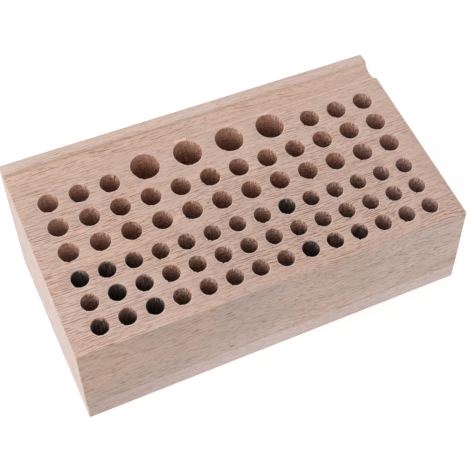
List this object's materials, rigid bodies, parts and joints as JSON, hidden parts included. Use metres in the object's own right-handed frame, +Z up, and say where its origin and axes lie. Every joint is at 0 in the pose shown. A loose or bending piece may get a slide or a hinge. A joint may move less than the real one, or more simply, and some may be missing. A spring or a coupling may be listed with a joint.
{
  "type": "tool holder block",
  "caption": "Sloping wooden wedge block with rows of round sockets in three sizes and a long groove, on a flat base board.",
  "frame": {"origin": "centre of the underside, midway along the length and the depth", "axes": "+X along the length, from the left end to the right end; -Y towards the low front face; +Z up"},
  "size_m": [0.2, 0.108, 0.0704],
  "materials": {
    "block_wood": "raw sanded beech",
    "base_wood": "raw sanded beech"
  },
  "bodies": {
    "root": {"drilled_block": "block_wood", "base_board": "base_wood"}
  },
  "joints": []
}
